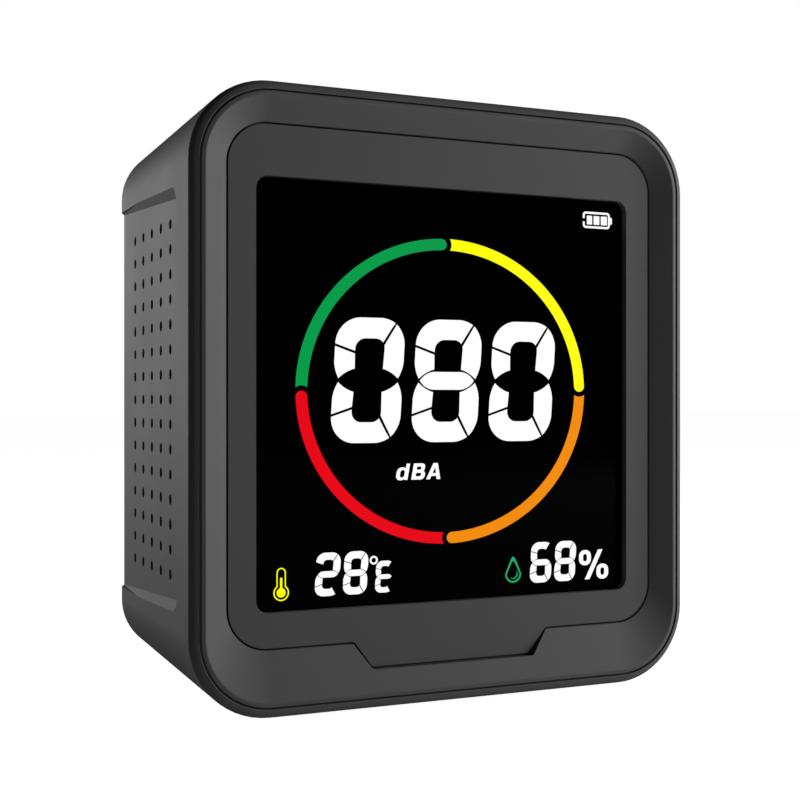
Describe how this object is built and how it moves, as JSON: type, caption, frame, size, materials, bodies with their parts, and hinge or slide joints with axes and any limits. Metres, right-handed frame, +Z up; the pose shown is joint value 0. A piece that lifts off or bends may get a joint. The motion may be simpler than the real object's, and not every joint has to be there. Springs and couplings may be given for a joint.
{
  "type": "sound level meter",
  "caption": "Desktop sound level meter: tapered housing with perforated sides, dished front frame round a square segment display, and a rear cover with push buttons and a charging socket.",
  "frame": {"origin": "on the table under the middle of the body: bottom centre of the bounding box", "axes": "+X to the right as seen from the front, +Y from the display towards the rear cover, +Z up"},
  "size_m": [0.0926, 0.054, 0.1023],
  "materials": {
    "shell_plastic": "fine spark-eroded texture, dark grey",
    "plate_plastic": "fine satin texture, dark grey",
    "black_tape": "matt black foam tape",
    "window_lens": "smoked gloss acrylic, dark until lit",
    "display_glass": "black negative segment display",
    "white_plastic": "moulded white",
    "rubber": "matt black rubber",
    "black_plastic": "moulded black",
    "circuit_board": "green solder mask",
    "chip_resin": "moulded chip resin",
    "cell_wrap": "blue shrink wrap",
    "plated_steel": "nickel plated",
    "felt": "black dust felt",
    "capsule_aluminium": "drawn can",
    "lead_sleeve": "black flexible sleeve",
    "button_plastic": "satin black",
    "black_screw": "black zinc"
  },
  "bodies": {
    "meter_body": {"main_housing": "shell_plastic", "front_frame": "shell_plastic", "display_surround": "plate_plastic", "lens_tape": "black_tape", "window_lens": "window_lens", "lcd_panel": "display_glass", "lcd_backlight": "white_plastic", "lcd_contact_strip": "rubber", "lcd_holder": "black_plastic", "main_board": "circuit_board", "processor_chip": "chip_resin", "alarm_buzzer": "black_plastic", "battery_holder": "black_plastic", "battery_cell": "cell_wrap", "battery_contact_positive": "plated_steel", "battery_contact_negative": "plated_steel", "grille_screen_left": "felt", "grille_screen_right": "felt", "microphone_boot": "rubber", "microphone_capsule": "capsule_aluminium", "climate_sensor_board": "circuit_board", "climate_sensor_chip": "chip_resin", "microphone_lead": "lead_sleeve", "climate_sensor_lead": "lead_sleeve", "microphone_socket": "white_plastic", "climate_sensor_socket": "white_plastic", "link_cable": "lead_sleeve", "link_socket_main": "white_plastic", "link_socket_keys": "white_plastic", "rear_cover": "shell_plastic", "key_board": "circuit_board", "switch_up": "black_plastic", "switch_power": "black_plastic", "switch_down": "black_plastic", "charging_socket": "plated_steel", "cover_screw_1": "black_screw", "cover_screw_2": "black_screw", "cover_screw_3": "black_screw", "cover_screw_4": "black_screw", "board_screw_1": "plated_steel", "board_screw_2": "plated_steel", "board_screw_3": "plated_steel", "board_screw_4": "plated_steel", "key_board_screw_1": "plated_steel", "key_board_screw_2": "plated_steel", "key_board_screw_3": "plated_steel", "key_board_screw_4": "plated_steel", "foot_front_left": "rubber", "foot_front_right": "rubber", "foot_rear_left": "rubber", "foot_rear_right": "rubber"},
    "up_key": {"button_up": "button_plastic", "plunger_up": "white_plastic"},
    "power_key": {"button_power": "button_plastic", "plunger_power": "white_plastic"},
    "down_key": {"button_down": "button_plastic", "plunger_down": "white_plastic"}
  },
  "joints": [
    {"name": "up_press", "type": "slide", "parent": "meter_body", "child": "up_key", "axis": [0, -1, 0], "range_m": [0, 0.0005], "stiffness_N_per_m": 3000},
    {"name": "power_press", "type": "slide", "parent": "meter_body", "child": "power_key", "axis": [0, -1, 0], "range_m": [0, 0.0005], "stiffness_N_per_m": 3000},
    {"name": "down_press", "type": "slide", "parent": "meter_body", "child": "down_key", "axis": [0, -1, 0], "range_m": [0, 0.0005], "stiffness_N_per_m": 3000}
  ]
}
